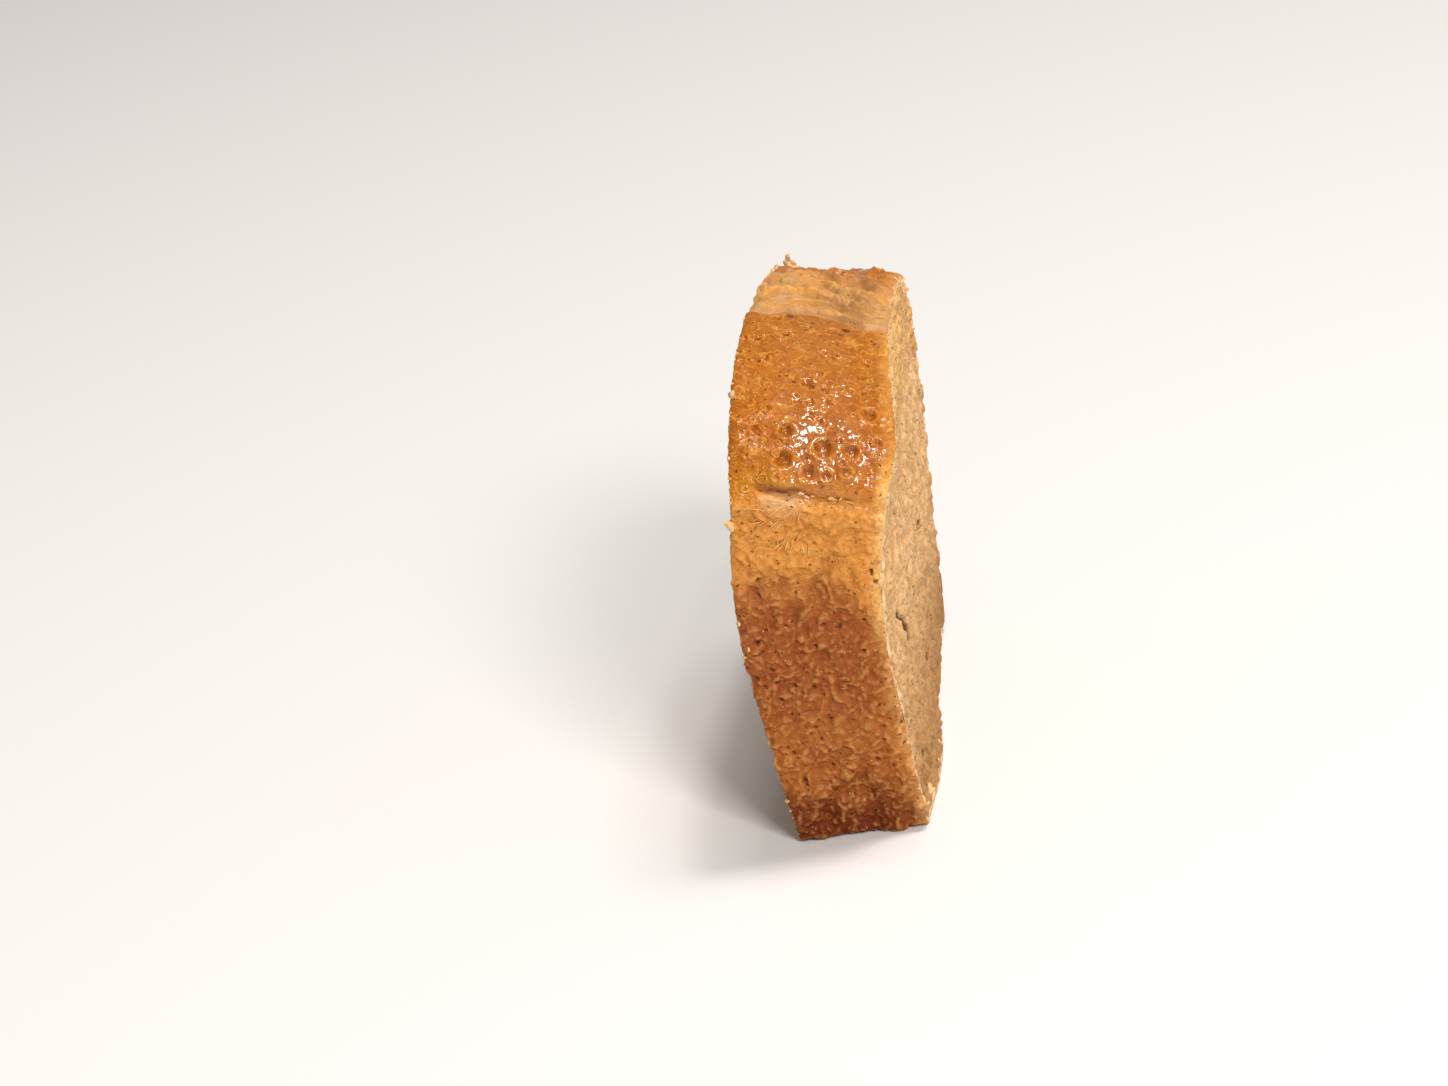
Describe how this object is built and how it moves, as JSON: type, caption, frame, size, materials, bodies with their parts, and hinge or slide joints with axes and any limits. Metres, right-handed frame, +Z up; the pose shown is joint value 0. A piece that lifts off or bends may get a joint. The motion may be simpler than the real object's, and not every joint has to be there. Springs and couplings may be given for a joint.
{
  "type": "banana bread slice",
  "caption": "Thick slice of banana bread standing on its flat bottom crust, with flared tin walls, a rim ledge, a glossy split dome and open crumb on both cuts.",
  "frame": {"origin": "Centre of the slice's bounding box on the plane of its flat bottom crust.", "axes": "+X runs along the loaf, through the slice's thickness, +Y runs across the loaf from the near wall to the far wall, and +Z is up."},
  "size_m": [0.0374, 0.1032, 0.0902],
  "materials": {
    "crust": "browned crust, satin on the walls and glossy on the dome's shoulders",
    "crumb": "matte open crumb on the cuts and in the torn split"
  },
  "bodies": {
    "root": {"banana_bread_slice": "crust"}
  },
  "joints": []
}
